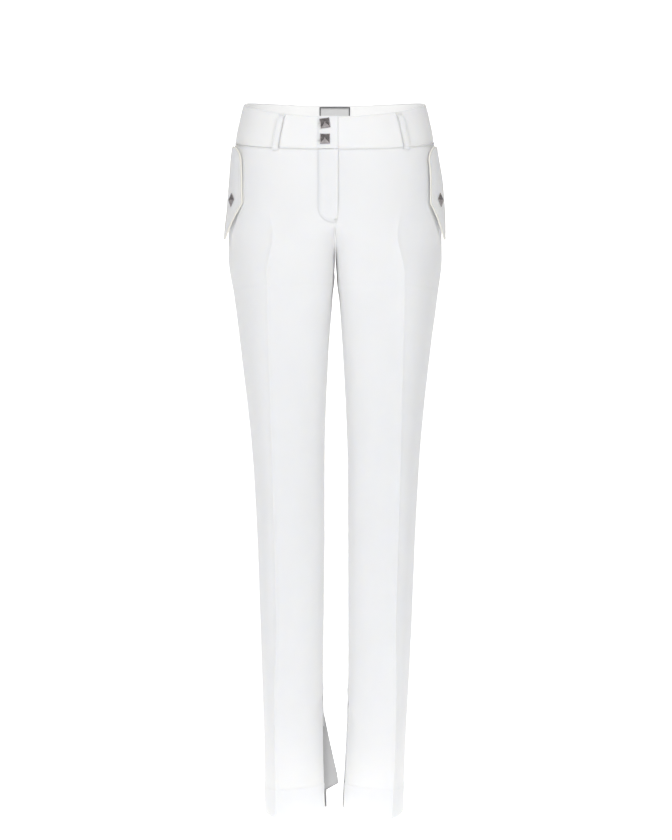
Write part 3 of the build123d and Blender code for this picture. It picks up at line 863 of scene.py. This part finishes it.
for label, turn in (("upper", 8), ("lower", 0)):
    low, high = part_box(f"waist_stud_{label}")
    z = (low.z + high.z) / 2
    lean = radians(7.4)
    y = (hips_y(STUD_X, z * 1000) - 4.1) * MM
    head = stud_mesh(
        f"waist_stud_{label}_head", (STUD_X * MM, y, z), (0, -cos(lean), sin(lean)), (0, 0, 1), turn,
        0.0075, 4.6, "fly"
    )
    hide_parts(f"waist_stud_{label}")

# ---- Pocket flaps ----

FLAP_TOP, FLAP_SHOULDER, FLAP_CORNER, FLAP_TIP = -36.0, -66.0, -126.0, -178.0
FLAP_BACK, FLAP_MIDDLE, FLAP_FRONT, CORNER_FRONT = -18.0, -40.0, -61.0, -69.0
GAP_TOP, GAP_CORNER, GAP_TIP, FLAP_CLOTH, STUD_Y = 2.2, 3.2, 8.5, 1.8, -45.0


def flap_edges(z):
    """The flap's back and front edges (y) at height z."""
    back, front = FLAP_BACK, FLAP_FRONT
    if z > FLAP_SHOULDER:
        t = (z - FLAP_SHOULDER) / (FLAP_TOP - FLAP_SHOULDER)
        front = FLAP_FRONT + (FLAP_BACK - 6 - FLAP_FRONT) * (1 - (1 - min(1, t) ** 2) ** 0.5)
        if t > 0.9:
            back = FLAP_BACK - 2.5 * ((t - 0.9) / 0.1) ** 2
    elif z > FLAP_CORNER:
        front += (CORNER_FRONT - FLAP_FRONT) * (FLAP_SHOULDER - z) / (FLAP_SHOULDER - FLAP_CORNER)
    else:
        t = (FLAP_CORNER - z) / (FLAP_CORNER - FLAP_TIP)
        back = FLAP_BACK + (FLAP_MIDDLE + 1.2 - FLAP_BACK) * t
        front = CORNER_FRONT + (FLAP_MIDDLE - 1.2 - CORNER_FRONT) * t
    return back, front


def flap_surface(y, z, extra=0.0, curl=0.0, stand=0.0):
    """x of the flap's face at (y, z), on the wearer's left, in millimetres."""
    share = (z - FLAP_TOP) / (FLAP_TIP - FLAP_TOP)
    gap = GAP_TOP + (GAP_CORNER - GAP_TOP) * min(1, share / 0.63) + FLAP_CLOTH + extra
    gap += (GAP_TIP - GAP_CORNER) * max(0, (share - 0.63) / 0.37) ** 1.3
    gap += curl * ramp(0.55, 1.0, share) + stand * ramp(0.05, 0.4, share) * (1 - ramp(0.63, 1, share))
    level = z
    for _ in range(5):
        tilt, width, front, back = table(HIPS, level)
        part = min(0.999, abs(y) / (front + gap))
        level = z - y * sin(radians(tilt)) * 0.6
    return (width + gap) * (1 - part**HIP_POWER) ** (1 / HIP_POWER)


def flap_out(y, z):
    """The direction that the flap's face looks, on the wearer's left."""
    dy = flap_surface(y + 1, z) - flap_surface(y - 1, z)
    dz = flap_surface(y, z + 1) - flap_surface(y, z - 1)
    return Vector((2, -dy, -dz)).normalized()


heights = list(np.linspace(FLAP_TOP, FLAP_SHOULDER, 14)) + list(np.linspace(-70, -122, 12))
heights += list(np.linspace(FLAP_CORNER, FLAP_TIP, 15))
for name, sign in (("left", 1), ("right", -1)):
    curl, stand = (0.3, 1.8) if name == "left" else (0.0, -1.7)
    body = f"pocket_flap_{name}"
    grid = []
    for z in heights:
        back, front = flap_edges(z)
        ys = back + (front - back) * np.array([0, 0.03, 0.08, 0.2, 0.35, 0.5, 0.65, 0.8, 0.92, 0.97, 1])
        line = []
        for k, y in enumerate(ys):
            near = min(abs(y - back), abs(y - front), (z - FLAP_TIP) * 0.5 + 1)
            swell = -0.35 * exp(-near / 1.2) - 0.25 * ridge(near, 4.2, 0.7)
            line.append((sign * flap_surface(y, z, swell, curl, stand), y, z))
        grid.append(line)
    grid = np.array(grid) * MM
    normals = grid_normals(grid)
    outward = 1 if np.sum(normals[..., 0]) * sign > 0 else -1
    cloth = cloth_object(
        f"pocket_flap_{name}_cloth", grid, FLAP_CLOTH * MM, outward, SHELL, INSIDE, body
    )
    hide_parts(f"pocket_flap_{name}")
    rim = [(flap_edges(z)[1], z) for z in heights]
    rim += [(flap_edges(z)[0], z) for z in reversed(heights)]
    edge = []
    for y, z in rim:
        edge.append((sign * flap_surface(y, z, -FLAP_CLOTH / 2, curl, stand) * MM, y * MM, z * MM))
    pile = Pile()
    pile.add(*tube_along(edge, 0.0013, 10, closed=True, flat=1.0, up=(sign, -0.2, 0)))
    piping = pile.make(f"flap_piping_{name}_cord", PIPING, body)
    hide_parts(f"flap_piping_{name}")
    inner = []
    for z in list(np.linspace(FLAP_SHOULDER + 2, FLAP_CORNER, 14)) + list(np.linspace(-130, -170, 10)):
        inner.append((flap_edges(z)[1] + 3.6, z))
    for z in list(np.linspace(-170, -130, 10)) + list(np.linspace(FLAP_CORNER, -44, 18)):
        inner.append((flap_edges(z)[0] - 3.6, z))
    path = [(sign * flap_surface(y, z, 0.05, curl, stand) * MM, y * MM, z * MM) for y, z in inner]
    pile = Pile()
    stitches(path, lambda m: (sign, -0.3, 0), pile)
    pile.make(f"flap_stitching_{name}", THREAD, body)
    n = flap_out(STUD_Y, -119)
    at = Vector((flap_surface(STUD_Y, -119, 0, curl, stand), STUD_Y, -119)) + n * 0.1
    head = stud_mesh(
        f"flap_stud_{name}_head", (at.x * sign * MM, at.y * MM, at.z * MM), (n.x * sign, n.y, n.z),
        (0, 0, 1), 45, 0.0076, 4.8, body
    )
    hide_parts(f"flap_stud_{name}")

# ---- Belt loops ----

PLACES = {
    "front_left": (103, 99, -1),
    "front_right": (-84.5, -81, -1),
    "back_left": (92, 92, 1),
    "back_right": (-92, -92, 1),
    "centre_back": (0, 0, 1),
}
for place, (foot_x, head_x, side) in PLACES.items():
    rows = []
    for t in np.linspace(0, 1, 30):
        across = (foot_x + (head_x - foot_x) * t) / 147.25
        head = rim_height(on_band(across, 10, side)[1]) - 1.6
        z = SEAM_Z - 4.5 + (head - SEAM_Z + 4.5) * t
        stand = 1.6 + 3.6 * ramp(0.02, 0.14, t) * (1 - ramp(0.9, 1.0, t)) + 0.35 * sin(pi * t)
        centre = on_band(across, z, side, stand)
        ahead = on_band(across + 0.01, z, side, stand) - on_band(across - 0.01, z, side, stand)
        ahead[2] = 0
        ahead /= np.linalg.norm(ahead)
        outward = np.array((-ahead[1], ahead[0], 0.0))
        if outward[1] * side < 0:
            outward = -outward
        line = []
        for k in np.linspace(-1, 1, 9):
            crown = -0.5 * abs(k) ** 6 + 0.12 * (1 - k * k) - 0.2 * ridge(abs(k), 0.72, 0.08)
            line.append(centre + ahead * 5.1 * k + outward * crown)
        rows.append(line)
    top = rows[-1]
    for drop, back in ((0.9, 1.0), (0.9, 2.2)):
        rows.append([p + np.array((0, -side * back, drop)) for p in top])
    grid = np.array(rows) * MM
    normals = grid_normals(grid)
    outward = 1 if np.sum(normals[..., 1]) * side > 0 else -1
    loop = cloth_object(
        f"belt_loop_{place}_strap", grid, 0.0015, outward, BAND, BAND, "hips"
    )
    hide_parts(f"belt_loop_{place}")
    pile = Pile()
    for k in (1, 7):
        path = grid[2:-4, k] + np.array((0, side * 0.0001, 0))
        stitches(path, lambda m: (0, side, 0), pile, radius=0.00018)
    for row in (1, -4):
        a, b = grid[row, 1], grid[row, 7]
        for k in range(14):
            p = a + (b - a) * k / 13 + np.array((0, side * 0.00025, 0))
            q = p + np.array((0, 0, 0.0007))
            pile.add(*tube_along([p - np.array((0, 0, 0.0007)), q], 0.0002, 5, up=(0, side, 0)))
    pile.make(f"belt_loop_{place}_stitching", THREAD, "hips")

# ---- Label inside the centre back ----

LABEL_TOP = 20.5


def label_sheet(name, half, top, bottom, front, material):
    grid = []
    for z in np.linspace(top, bottom, 10):
        line = []
        for x in np.linspace(-half, half, 20):
            bow = 0.5 * sin(pi * (top - z) / (top - bottom)) + 0.15 * sin(x / 6)
            y, up = on_band(x / 141.5, z, 1, -4.6 - front - bow)[1:]
            line.append((x, y, up))
        grid.append(line)
    grid = np.array(grid) * MM
    way = outward_sign(grid, -1)
    return cloth_object(name, grid, 0.00035, way, material, material, "hips")


border = label_sheet("waist_label_border", 24, LABEL_TOP, -11, 0.0, BORDER)
face = label_sheet("waist_label_face", 22.4, LABEL_TOP - 1.7, -9.4, 0.45, LABEL)
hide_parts("waist_label")

# ---- Zips ----


def copied(node, name, material, body, width):
    """A CAD piece with its edges softened."""
    mesh = nodes[node].data.copy()
    mesh.name = name
    mesh.materials.clear()
    mesh.materials.append(material)
    for face in mesh.polygons:
        face.material_index = 0
        face.use_smooth = True
    obj = bpy.data.objects.new(name, mesh)
    bpy.context.scene.collection.objects.link(obj)
    weld = obj.modifiers.new("weld", "WELD")
    weld.merge_threshold = 1e-6
    bevel = obj.modifiers.new("soft_edges", "BEVEL")
    bevel.width, bevel.segments, bevel.limit_method = width, 2, "ANGLE"
    bevel.angle_limit = radians(30)
    bevel.harden_normals = True
    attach(obj, body)
    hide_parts(node)
    return obj


def teeth_ends(node):
    """The corners of a zip's CAD teeth: all, those at the top and those at the foot."""
    points = np.array([v.co[:] for v in nodes[node].data.vertices])
    top = points[points[:, 2] > points[:, 2].max() - 0.0012]
    return points, top, points[points[:, 2] < points[:, 2].min() + 0.0012]


def coil_row(start, end, across, out, pile, pitch=0.0013):
    """A row of coil teeth from start to end. across points from the tape to the teeth's tips."""
    start, end = Vector(start), Vector(end)
    count = int((end - start).length / pitch)
    down = (end - start).normalized()
    for k in range(count):
        at = start.lerp(end, (k + 0.5) / count)
        loop = []
        for a in np.linspace(0, 2 * pi, 9)[:-1]:
            loop.append(at + across * 0.00085 * cos(a) + out * 0.0007 * sin(a) + down * 0.00018 * cos(a))
        pile.add(*tube_along(loop, 0.00032, 5, closed=True, up=down))


def tape_strip(name, start, end, across, out, width, body, node=None):
    """A woven tape from start to end, width wide away from the teeth, with a ribbed edge."""
    start, end = Vector(start), Vector(end)
    grid = []
    for t in np.linspace(0, 1, 40):
        at = start.lerp(end, t)
        line = []
        for k in np.linspace(0, 1, 9):
            lift = 0.00012 * sin(pi * k * 4) + 0.0003 * sin(9 * t) * k
            line.append(at - across * width * k + out * lift)
        grid.append([list(p) for p in line])
    grid = np.array(grid)
    normals = grid_normals(grid)
    outward = 1 if float(np.sum(normals @ np.array(out))) > 0 else -1
    piece = cloth_object(name, grid, 0.0006, outward, TAPE, TAPE, body)
    if node:
        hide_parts(node)
    return piece


for name, sign in (("left", 1), ("right", -1)):
    body = f"lower_leg_{name}"
    _, top, foot = teeth_ends(f"hem_zip_teeth_{name}")
    turn = radians(SLIT_TURN)
    toward_front = Vector((sign * sin(turn), -cos(turn), 0))
    outward = Vector((-sign * cos(turn), -sin(turn), 0))
    middle_top, middle_foot = Vector(top.mean(0)), Vector(foot.mean(0))
    spread_top = np.abs((top - top.mean(0)) @ np.array(toward_front)).max() - 0.0008
    spread_foot = np.abs((foot - foot.mean(0)) @ np.array(toward_front)).max() - 0.0008
    pile = Pile()
    for way in (-1, 1):
        across = toward_front * way
        a = middle_top + across * spread_top
        b = middle_foot + across * spread_foot
        coil_row(a, b, -across, outward, pile)
        tape_strip(
            f"hem_zip_tape_{'front' if way > 0 else 'back'}_{name}",
            a + across * 0.0006 + Vector((0, 0, 0.001)), b + across * 0.0006 - Vector((0, 0, 0.001)),
            -across, outward, 0.0058, body, f"hem_zip_tapes_{name}"
        )
    row = pile.make(f"hem_zip_coils_{name}", TEETH, body)
    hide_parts(f"hem_zip_teeth_{name}")
    for part, kind, bevel in (("slider", "body", 0.00025), ("pull", "tab", 0.0002)):
        mover = f"hem_{part}_{name}"
        copied(f"hem_zip_{part}_{name}", f"{mover}_{kind}", ZIP_METAL, mover, bevel)
    copied(f"hem_zip_stop_{name}", f"hem_stop_{name}_block", BLACK, body, 0.0005)

    # The guard that hangs behind the slit, coloured grey as painted shade on white cloth
    lean, spare = (2.75, 9) if name == "right" else (0.5, 16)
    slit_x = leg_point(-858, 0.0, -1)
    hem_x = leg_point(-1052, 0.0, -1)
    grid = []
    for t in np.linspace(0, 1, 30):
        z = -855 - 166 * t
        run = (-858 - z) / 194
        at = slit_x + (hem_x - slit_x) * run
        wide = 6 + spare * min(1, t)
        line = []
        for k in np.linspace(0, 1, 12):
            back = 5.0 + 4.5 * k if name == "right" else wide * k - 3
            depth = -9.4 + 0.6 * sin(5 * t + 2 * k) + lean * 9.5 * k * min(1, t / 0.88)
            fall = 15 * ramp(0.9, 1.0, t) * (k - 0.45)
            p = (
                sign * (at[0] - back * sin(turn) - depth * cos(turn)),
                at[1] + back * cos(turn) - depth * sin(turn), z + fall
            )
            line.append(p)
        grid.append(line)
    grid = np.array(grid) * MM
    normals = grid_normals(grid)
    way = 1 if float(np.sum(normals @ np.array(outward))) > 0 else -1
    guard = cloth_object(f"vent_guard_{name}_flap", grid, 0.0009, way, PAINTED_SHADE_GREY, PAINTED_SHADE_GREY, body)
    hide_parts(f"vent_guard_{name}")

points, top, foot = teeth_ends("fly_zip_teeth")
spread = points[:, 0].max() - 0.0008
lean = radians(2.5)
out = Vector((0, -cos(lean), sin(lean)))
pile = Pile()
for way, name in ((1, "left"), (-1, "right")):
    side = Vector((way, 0, 0))
    a = Vector(top.mean(0)) + side * (spread + 0.0004)
    b = Vector(foot.mean(0)) + side * (spread + 0.0004)
    coil_row(a, b, -side, out, pile)
    tape_strip(
        f"fly_zip_tape_{name}_cloth", a + side * 0.0006 + Vector((0, 0, 0.001)),
        b + side * 0.0006 - Vector((0, 0, 0.001)), -side, out, 0.0118, "hips", f"fly_zip_tape_{name}"
    )
row = pile.make("fly_zip_coils", TEETH, "hips")
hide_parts("fly_zip_teeth")
copied("fly_zip_slider", "fly_slider_body", ZIP_METAL, "fly_slider", 0.00025)
copied("fly_zip_pull", "fly_pull_tab", ZIP_METAL, "fly_slider", 0.0002)
copied("waist_sockets", "stud_sockets", STUD, "hips", 0.0003)

low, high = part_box("fly_guard")
grid = []
for z in np.linspace(high.z, low.z, 24):
    t = (high.z - z) / (high.z - low.z)
    line = []
    for x in np.linspace(low.x, high.x, 14):
        y = low.y + (high.y - low.y - 0.001) * (1 - t) + 0.0002 * sin(30 * t + 300 * x)
        line.append((x, y, z))
    grid.append(line)
grid = np.array(grid)
guard = cloth_object(
    "fly_guard_cloth", grid, 0.0008, outward_sign(grid, -1), INSIDE, INSIDE, "hips"
)
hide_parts("fly_guard")

# ---- Pocket bags ----

for name, sign in (("left", 1), ("right", -1)):
    for layer, inset in (("outer", 4.6), ("inner", 6.8)):
        grid = []
        for z in np.linspace(-56, -150, 20):
            line = [hip_point(z, s, -1, inset) for s in np.linspace(0.63, 0.96, 20)]
            grid.append(line)
        grid = np.array(grid) * MM
        grid[..., 0] *= sign
        bag = cloth_object(
            f"pocket_bag_{name}_{layer}", grid, 0.0008, outward_sign(grid, -1), INSIDE, INSIDE,
            "hips"
        )
        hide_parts(f"pocket_bag_{name}")

# ---- Room, light and camera ----

scene = bpy.context.scene


def plain_white(name, value):
    material, tree, shader = nodes_of(name)
    place = add_node(tree, "ShaderNodeTexCoord").outputs["Object"]
    cloud = add_node(tree, "ShaderNodeTexNoise", Scale=1.5)
    tree.links.new(place, cloud.inputs["Vector"])
    tone = mix_colour(tree, cloud.outputs["Fac"], (value, value, value), (value * 0.99,) * 3)
    tree.links.new(tone, shader.inputs["Base Color"])
    shader.inputs["Roughness"].default_value = 1.0
    shader.inputs["Specular IOR Level"].default_value = 0.0
    shader.inputs["Emission Color"].default_value = (1, 1, 1, 1)
    # It glows behind the pants only, so that their front isn't lit from below
    parts = add_node(tree, "ShaderNodeSeparateXYZ")
    tree.links.new(place, parts.inputs[0])
    across = add_node(tree, "ShaderNodeMath", operation="ABSOLUTE")
    tree.links.new(parts.outputs["X"], across.inputs[0])
    glow = ranged(tree, parts.outputs["Y"], -0.7, 0.1, 0.1, 0.9)
    for value, near, far in ((across.outputs[0], 1.5, 2.6), (parts.outputs["Z"], 1.3, 2.4)):
        product = add_node(tree, "ShaderNodeMath", operation="MULTIPLY")
        tree.links.new(glow, product.inputs[0])
        tree.links.new(ranged(tree, value, near, far, 1.0, 0.15), product.inputs[1])
        glow = product.outputs[0]
    tree.links.new(glow, shader.inputs["Emission Strength"])
    return material


FLOOR_Z = cad_box[0][2] - 0.004
profile = [(-6.0, FLOOR_Z), (3.2, FLOOR_Z)]
for a in np.linspace(0, pi / 2, 14)[1:]:
    profile.append((3.2 + 1.2 * sin(a), FLOOR_Z + 1.2 * (1 - cos(a))))
profile.append((4.4, FLOOR_Z + 6.0))
vertices = [(x, y, z) for y, z in profile for x in (-9, 9)]
faces = [(2 * i, 2 * i + 1, 2 * i + 3, 2 * i + 2) for i in range(len(profile) - 1)]
mesh = bpy.data.meshes.new("studio_floor")
mesh.from_pydata(vertices, [], faces)
mesh.materials.append(plain_white("studio_white", 0.96))
for face in mesh.polygons:
    face.use_smooth = True
floor = bpy.data.objects.new("studio_floor", mesh)
scene.collection.objects.link(floor)

world = bpy.data.worlds.new("studio_world")
world.use_nodes = True
world.node_tree.nodes["Background"].inputs["Color"].default_value = (1.0, 1.0, 1.0, 1)
world.node_tree.nodes["Background"].inputs["Strength"].default_value = 0.33
scene.world = world


def area_light(name, place, aim, width, height, power):
    light = bpy.data.lights.new(name, "AREA")
    light.shape, light.size, light.size_y, light.energy = "RECTANGLE", width, height, power
    obj = bpy.data.objects.new(name, light)
    obj.location = place
    obj.rotation_euler = (Vector(aim) - Vector(place)).to_track_quat("-Z", "Y").to_euler()
    scene.collection.objects.link(obj)


area_light("left_softbox", (-1.4, -3.1, 1.1), (0, 0, -0.35), 1.0, 1.4, 36)
area_light("right_softbox", (1.5, -3.1, 1.1), (0, 0, -0.35), 1.0, 1.4, 26)
area_light("top_softbox", (0.0, -1.5, 1.5), (0, 0.1, 0.0), 1.2, 0.5, 7)

camera = bpy.data.cameras.new("camera")
camera.lens, camera.sensor_width, camera.sensor_fit = 97.5, 36.0, "VERTICAL"
camera.sensor_height = 36.0
view = bpy.data.objects.new("camera", camera)
view.location = (0.002, -3.5, -0.453)
view.rotation_euler = (radians(90), 0, 0)
scene.collection.objects.link(view)
scene.camera = view
scene.view_settings.view_transform = "Standard"
